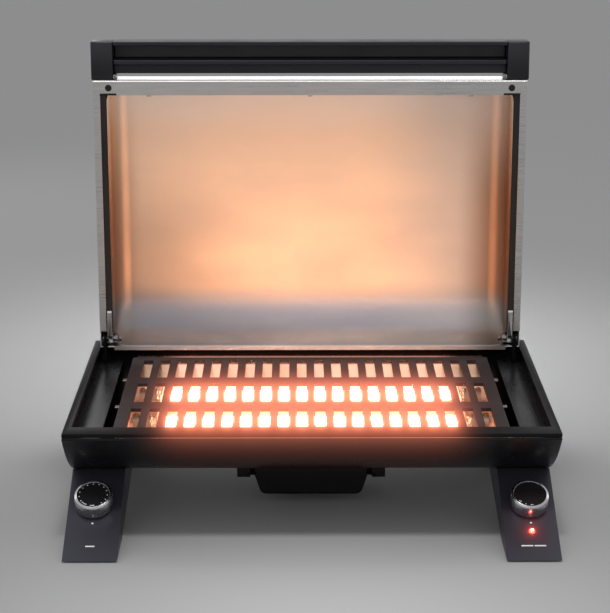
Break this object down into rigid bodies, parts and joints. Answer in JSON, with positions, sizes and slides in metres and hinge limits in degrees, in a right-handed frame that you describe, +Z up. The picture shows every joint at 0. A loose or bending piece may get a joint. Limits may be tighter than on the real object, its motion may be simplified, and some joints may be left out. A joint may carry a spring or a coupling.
{
  "type": "electric tabletop grill",
  "caption": "Infrared electric table grill: black trough on splayed legs with a slotted grate over quartz heaters, side controls, a drip tray and a deep flip-up lid with a full-width handle.",
  "frame": {"origin": "on the table, under the middle of the open grill's bounding box", "axes": "+X to the cook's right along the trough, -Y towards the cook, +Z up"},
  "size_m": [0.59, 0.452, 0.5604],
  "materials": {
    "enamel": "gloss black enamel",
    "leg_paint": "satin charcoal moulding",
    "steel": "brushed stainless",
    "cast": "dark seasoned iron",
    "plastic": "satin black",
    "rubber": "matt black",
    "ceramic": "cream ceramic, unglazed",
    "quartz": "clear quartz, warm from the filament",
    "filament": "resistance wire glowing orange",
    "knob_metal": "satin silver",
    "lamp": "red lens",
    "brass": "plain"
  },
  "bodies": {
    "body": {"ceramic_cap_front_left": "ceramic", "ceramic_cap_front_right": "ceramic", "ceramic_cap_rear_left": "ceramic", "ceramic_cap_rear_right": "ceramic", "cooking_grate": "cast", "filament_front": "filament", "filament_rear": "filament", "foot_pad_front_left": "rubber", "foot_pad_front_right": "rubber", "foot_pad_rear_left": "rubber", "foot_pad_rear_right": "rubber", "heater_bracket_left": "steel", "heater_bracket_right": "steel", "hinge_bracket_left": "enamel", "hinge_bracket_right": "enamel", "hinge_pin_left": "knob_metal", "hinge_pin_right": "knob_metal", "indicator_lamp": "lamp", "leg_cover_front_left": "plastic", "leg_cover_front_right": "plastic", "leg_cover_rear_left": "plastic", "leg_cover_rear_right": "plastic", "leg_front_left": "leg_paint", "leg_front_right": "leg_paint", "leg_rear_left": "leg_paint", "leg_rear_right": "leg_paint", "power_bush": "brass", "power_case": "plastic", "power_inlet": "plastic", "quartz_tube_front": "quartz", "quartz_tube_rear": "quartz", "reflector_pan": "steel", "rim_frame": "enamel", "side_panel_left": "enamel", "side_panel_right": "enamel", "terminal_block": "ceramic", "thermal_cutout": "brass", "timer_bush": "brass", "timer_case": "plastic", "tray_rail_left": "enamel", "tray_rail_right": "enamel", "tub_shell": "enamel"},
    "lid": {"lid_shell": "steel", "lid_liner": "steel", "lid_frame": "steel", "lid_bumper_left": "rubber", "lid_bumper_right": "rubber", "handle_bar": "plastic", "handle_end_left": "plastic", "handle_end_right": "plastic", "hinge_arm_left": "steel", "hinge_arm_right": "steel"},
    "timer_knob": {"timer_knob_ring": "knob_metal", "timer_knob_cap": "plastic", "timer_shaft": "steel"},
    "power_knob": {"power_knob_ring": "knob_metal", "power_knob_cap": "plastic", "power_shaft": "steel"},
    "tray": {"drip_tray": "enamel"}
  },
  "joints": [
    {"name": "lid_hinge", "type": "hinge", "parent": "body", "child": "lid", "pos_m": [0, 0.158, 0.159], "axis": [1, 0, 0], "range_deg": [0, 92]},
    {"name": "timer_turn", "type": "hinge", "parent": "body", "child": "timer_knob", "pos_m": [-0.2635, -0.14754, 0.04118], "axis": [0, -0.4467, 0.8947], "range_deg": [-300, 0]},
    {"name": "power_turn", "type": "hinge", "parent": "body", "child": "power_knob", "pos_m": [0.2635, -0.14754, 0.04118], "axis": [0, -0.4467, 0.8947], "range_deg": [-270, 0]},
    {"name": "tray_slide", "type": "slide", "parent": "body", "child": "tray", "axis": [0, -1, 0], "range_m": [0, 0.12]}
  ]
}
